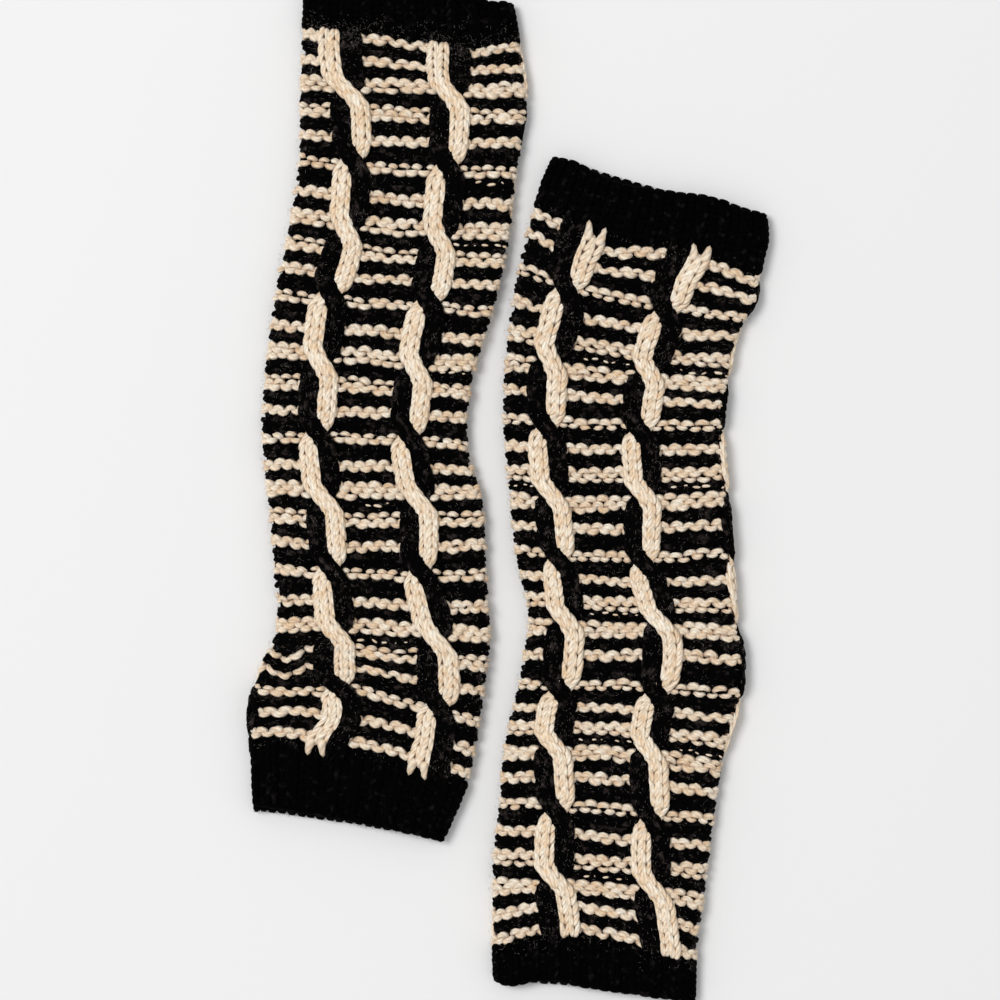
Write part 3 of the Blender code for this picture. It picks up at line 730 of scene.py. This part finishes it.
def makeTube(warmer, name, courses, inner, material):
    # a closed wall of rings: out along the outside of the cloth and back along its inside
    columns = base["columns"]
    rings = [(course, base["outer"]) for course in courses] + [(course, base["inner"]) for course in inner]
    course = np.array([ring[0] for ring in rings])[:, None] + np.zeros((1, columns))
    lift = np.array([ring[1] for ring in rings])[:, None] + np.zeros((1, columns))
    sizes = ringSizes(warmer, course)
    around = sizes["around"] * np.arange(columns)[None] / columns
    points, _, _ = onCloth(warmer, course, around, lift)
    i, j = np.meshgrid(np.arange(len(rings)), np.arange(columns), indexing="ij")
    after, beside = (i + 1) % len(rings), (j + 1) % columns
    row, afterRow = i * columns, after * columns
    faces = np.stack([row + j, row + beside, afterRow + beside, afterRow + j], axis=-1)
    mesh = bpy.data.meshes.new(name)
    mesh.from_pydata((points.reshape(-1, 3) * 0.001).tolist(), [], faces.reshape(-1, 4).tolist())
    mesh.materials.append(material)
    mesh.update()
    piece = bpy.data.objects.new(name, mesh)
    scene.collection.objects.link(piece)
    bpy.ops.object.select_all(action="DESELECT")
    bpy.context.view_layer.objects.active = piece
    piece.select_set(True)
    bpy.ops.object.mode_set(mode="EDIT")
    bpy.ops.mesh.select_all(action="SELECT")
    bpy.ops.mesh.normals_make_consistent(inside=False)
    bpy.ops.object.mode_set(mode="OBJECT")
    mesh.shade_smooth()
    piece.select_set(False)
    return piece


def hexColour(code):
    # an sRGB hex value as linear colour
    parts = [int(code[k:k + 2], 16) / 255 for k in (1, 3, 5)]
    return [c / 12.92 if c <= 0.04045 else ((c + 0.055) / 1.055) ** 2.4 for c in parts] + [1.0]


def addNode(tree, kind, settings=None, inputs=None):
    # settings are the node's own properties; inputs are values, or the sockets that feed them
    made = tree.nodes.new(kind)
    for key, value in (settings or {}).items():
        setattr(made, key, value)
    for key, value in (inputs or {}).items():
        if isinstance(value, bpy.types.NodeSocket):
            tree.links.new(value, made.inputs[key])
        else:
            made.inputs[key].default_value = value
    return made


# plied wool, with tufts of fibre 0.8 mm apart, coarser than real ones so that they show, and patches of dye
# 3 mm apart
grain = {
    "fibresPerMetre": 1300, "fibreDetail": 3, "fibreRoughness": 0.65, "dyePerMetre": 330, "dyeDetail": 2,
    "toneShare": 0.3, "fibreShare": 0.5, "shadeFrom": 0.55, "shadeTo": 1.2,
    "furrowFrom": -1.0, "furrowTo": 0.2, "fibreHeight": 1.2, "height": 0.00025, "sheenRoughness": 0.6,
}


def newMaterial(name, values):
    # values are the shader's own
    material = bpy.data.materials.new(name)
    material.use_nodes = True
    shader = material.node_tree.nodes["Principled BSDF"]
    for key, value in values.items():
        shader.inputs[key].default_value = value
    return material, material.node_tree, shader


def addRamp(tree, value, look):
    # from the look's dark colour to its light one
    ramp = addNode(tree, "ShaderNodeValToRGB", inputs={0: value})
    dark, light = ramp.color_ramp.elements
    dark.position, dark.color = look["darkUpTo"], hexColour(look["dark"])
    light.position, light.color = look["lightFrom"], hexColour(look["light"])
    return ramp.outputs[0]


def woolYarn(name, look):
    # matt, with a soft twist in slanting furrows painted darker as shade, a tone that shifts along the yarn
    # and between stitches, and painted shade mixed in as far as the attribute sunk says
    material, tree, shader = newMaterial(name, {
        "Roughness": look["roughness"], "Specular IOR Level": look["specular"], "Sheen Weight": look["sheen"],
        "Sheen Roughness": grain["sheenRoughness"], "Sheen Tint": hexColour(look["sheenColour"])})
    uv = addNode(tree, "ShaderNodeUVMap", {"uv_map": "yarn"})
    parts = addNode(tree, "ShaderNodeSeparateXYZ", inputs={0: uv.outputs[0]})
    turns = addNode(tree, "ShaderNodeMath", {"operation": "MULTIPLY"},
                    {0: parts.outputs[0], 1: 1 / look["twist"]})
    plies = addNode(tree, "ShaderNodeMath", {"operation": "MULTIPLY_ADD"},
                    {0: parts.outputs[1], 1: look["plies"], 2: turns.outputs[0]})
    angle = addNode(tree, "ShaderNodeMath", {"operation": "MULTIPLY"}, {0: plies.outputs[0], 1: 2 * math.pi})
    twist = addNode(tree, "ShaderNodeMath", {"operation": "SINE"}, {0: angle.outputs[0]})
    place = addNode(tree, "ShaderNodeTexCoord")
    fibres = addNode(tree, "ShaderNodeTexNoise", inputs={
        "Vector": place.outputs["Object"], "Scale": grain["fibresPerMetre"],
        "Detail": grain["fibreDetail"], "Roughness": grain["fibreRoughness"]})
    dye = addNode(tree, "ShaderNodeTexNoise", inputs={
        "Vector": place.outputs["Object"], "Scale": grain["dyePerMetre"], "Detail": grain["dyeDetail"]})
    tone = addNode(tree, "ShaderNodeAttribute", {"attribute_name": "stitchTone"})
    sunk = addNode(tree, "ShaderNodeAttribute", {"attribute_name": "sunk"})
    furrow = addNode(tree, "ShaderNodeMapRange", inputs={
        "Value": twist.outputs[0], "From Min": grain["furrowFrom"], "From Max": grain["furrowTo"],
        "To Min": look["furrow"], "To Max": 1.0})
    mixed = addNode(tree, "ShaderNodeMath", {"operation": "MULTIPLY_ADD"},
                    {0: tone.outputs["Fac"], 1: grain["toneShare"], 2: dye.outputs["Fac"]})
    mottled = addNode(tree, "ShaderNodeMath", {"operation": "MULTIPLY_ADD"},
                      {0: fibres.outputs["Fac"], 1: grain["fibreShare"], 2: mixed.outputs[0]})
    shade = addNode(tree, "ShaderNodeMapRange", inputs={
        "Value": mottled.outputs[0], "From Min": grain["shadeFrom"], "From Max": grain["shadeTo"]})
    # painted shade in the furrows between the plies
    shadedInFurrows = addNode(tree, "ShaderNodeVectorMath", {"operation": "SCALE"},
                       {0: addRamp(tree, shade.outputs[0], look), "Scale": furrow.outputs[0]})
    # painted shade: the colour deep between the stitches, mixed in as far as the attribute sunk says
    shadedColour = addNode(tree, "ShaderNodeVectorMath", {"operation": "MULTIPLY"},
                     {0: shadedInFurrows.outputs[0], 1: hexColour(look["paintedShade"])[:3]})
    paintedShading = addNode(tree, "ShaderNodeMix", {"data_type": "VECTOR"},
                      {"Factor": sunk.outputs["Fac"], 4: shadedInFurrows.outputs[0], 5: shadedColour.outputs[0]})
    tree.links.new(paintedShading.outputs[1], shader.inputs["Base Color"])
    height = addNode(tree, "ShaderNodeMath", {"operation": "MULTIPLY_ADD"},
                     {0: fibres.outputs["Fac"], 1: grain["fibreHeight"], 2: twist.outputs[0]})
    bump = addNode(tree, "ShaderNodeBump", inputs={
        "Height": height.outputs[0], "Strength": look["bump"], "Distance": grain["height"]})
    tree.links.new(bump.outputs[0], shader.inputs["Normal"])
    return material


def plainWool(name, look):
    # the cloth seen between the stitches, painted dark as shade: matt, with a faint grain of fibre
    material, tree, shader = newMaterial(name, {
        "Roughness": look["roughness"], "Specular IOR Level": look["specular"]})
    place = addNode(tree, "ShaderNodeTexCoord")
    fibres = addNode(tree, "ShaderNodeTexNoise", inputs={
        "Vector": place.outputs["Object"], "Scale": look["fibresPerMetre"], "Detail": look["fibreDetail"]})
    tree.links.new(addRamp(tree, fibres.outputs["Fac"], look), shader.inputs["Base Color"])
    bump = addNode(tree, "ShaderNodeBump", inputs={
        "Height": fibres.outputs["Fac"], "Strength": look["bump"], "Distance": look["height"]})
    tree.links.new(bump.outputs[0], shader.inputs["Normal"])
    return material


# undyed plied wool: warm cream with tan patches, and brown painted shade between the stitches
creamLook = {
    "light": "#FFF5E3", "dark": "#EAC79E", "darkUpTo": 0.0, "lightFrom": 1.0, "paintedShade": "#6C3D20",
    "roughness": 0.9, "sheen": 0.3, "sheenColour": "#FFF3E4", "specular": 0.2,
    "twist": 5.0, "plies": 3, "furrow": 0.78, "bump": 0.6,  # twist: mm of yarn to a turn
}
creamYarn = woolYarn("cream_plied_wool", creamLook)
# single fibres of the same wool: greyer, because each is thinner than the render can show
paleFibre = woolYarn("loose_pale_fibre", {**creamLook, "light": "#D6D0CA", "dark": "#8E8882"})
# black plied wool: nearly no light, but for grey painted on random tufts as the glint of fibres that catch
# it, and painted shade between the stitches
blackLook = {
    "light": "#332D2B", "dark": "#020101", "darkUpTo": 0.68, "lightFrom": 1.0, "paintedShade": "#808080",
    "roughness": 0.95, "sheen": 0.008, "sheenColour": "#B8B0B0", "specular": 0.04,
    "twist": 5.0, "plies": 3, "furrow": 0.6, "bump": 0.5,
}
blackYarn = woolYarn("black_plied_wool", blackLook)
# the same wool on the cuffs, painted darker still and with less sheen
cuffLook = {**blackLook, "light": "#151212", "dark": "#010101", "specular": 0.03, "sheen": 0.005}
cuffYarn = woolYarn("black_ribbed_wool", cuffLook)
# black wool under the stitches, with tufts 1.4 mm apart, painted darker than the yarn as the shade in the
# gaps: it closes the gaps as darkness
shadeLook = {
    "light": "#080606", "dark": "#020202", "darkUpTo": 0.35, "lightFrom": 0.7, "roughness": 0.95,
    "specular": 0.04, "fibresPerMetre": 700, "fibreDetail": 3, "bump": 0.6, "height": 0.0004,
}
blackClothAndShade = plainWool("black_wool_painted_shade", shadeLook)


for warmer in warmers:
    name = warmer["name"]
    skeins = {"cream": Skein(), "black": Skein()}
    knitGround(warmer, skeins)
    ridges = [skeins["cream"].make(f"{name}_cream_ridges", creamYarn),
              skeins["black"].make(f"{name}_black_ridges", blackYarn)]
    skeins = {"cream": Skein(), "black": Skein()}
    knitCables(warmer, skeins)
    cables = [skeins["cream"].make(f"{name}_cream_strands", creamYarn),
              skeins["black"].make(f"{name}_black_strands", blackYarn)]
    skeins = {"cream": Skein(), "black": Skein()}
    brushFuzz(warmer, skeins)
    fibres = [skeins["cream"].make(f"{name}_cream_fibres", paleFibre),
              skeins["black"].make(f"{name}_black_fibres", blackYarn)]
    rows = cloth["bodyRows"]
    courses = list(np.linspace(base["gap"], rows - base["gap"], rows // 2 + 1))
    tube = makeTube(warmer, f"{name}_body_cloth", courses, courses[::-2], blackClothAndShade)
    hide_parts(f"{name}_cabled_body")
    knitted = [*ridges, *cables, *fibres]
    for piece in [tube, *knitted]:
        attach(piece, "root")
    for size, node in warmer["cuffs"].items():
        skein = Skein()
        knitRibs(warmer, size, skein)
        hairEdge(warmer, size, skein)
        bindEdge(warmer, size, skein)
        stitches = skein.make(f"{node}_stitches", cuffYarn)
        seam, edge, outwards = cuffEnds(warmer, size)
        ends = seam + outwards * base["gap"], edge - outwards * base["lip"]
        courses = list(np.linspace(*ends, base["cuffRings"]))
        tube = makeTube(warmer, f"{node}_cloth", courses, courses[::-1], blackClothAndShade)
        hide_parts(node)
        for piece in (tube, stitches):
            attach(piece, "root")
    print(name, "cuffs knitted")

# a matt white paper floor: pale grey and even, without a shine
floorLook = {"size": 6, "colour": "#EAEAEA", "roughness": 0.9}
bpy.ops.object.select_all(action="DESELECT")
bpy.ops.mesh.primitive_plane_add(size=floorLook["size"])
floor = bpy.context.object
floor.name = "floor"
paper, _, _ = newMaterial("matt_white_paper", {
    "Base Color": hexColour(floorLook["colour"]), "Roughness": floorLook["roughness"]})
floor.data.materials.append(paper)

# an even sky, and one large soft light from the upper left
lighting = {"sky": 0.59, "key": 149.0, "keyPlace": (-2.3, 1.1, 4.5), "keySize": 2.0}
world = bpy.data.worlds.new("studio")
scene.world = world
world.use_nodes = True
world.node_tree.nodes["Background"].inputs["Color"].default_value = (1.0, 1.0, 1.0, 1.0)
world.node_tree.nodes["Background"].inputs["Strength"].default_value = lighting["sky"]
key = bpy.data.lights.new("softbox", "AREA")
key.energy = lighting["key"]
key.size = lighting["keySize"]
keyObject = bpy.data.objects.new("softbox", key)
keyObject.location = lighting["keyPlace"]
scene.collection.objects.link(keyObject)
aim = Vector((0, 0, 0)) - keyObject.location
keyObject.rotation_euler = aim.to_track_quat("-Z", "Y").to_euler()

# straight above the pair, as in the photo: the frame's width is measured at the cloth's height
cameraSet = {"above": (-0.0042, -0.0024), "height": 1.46, "frameWidth": 0.470, "frameAt": 0.008, "sensor": 36}
cameraData = bpy.data.cameras.new("camera")
cameraData.sensor_width = cameraSet["sensor"]
distance = cameraSet["height"] - cameraSet["frameAt"]
cameraData.lens = cameraSet["sensor"] * distance / cameraSet["frameWidth"]
camera = bpy.data.objects.new("camera", cameraData)
camera.location = (*cameraSet["above"], cameraSet["height"])
scene.collection.objects.link(camera)
scene.camera = camera
scene.view_settings.view_transform = "Standard"
print("floor, light and camera placed")
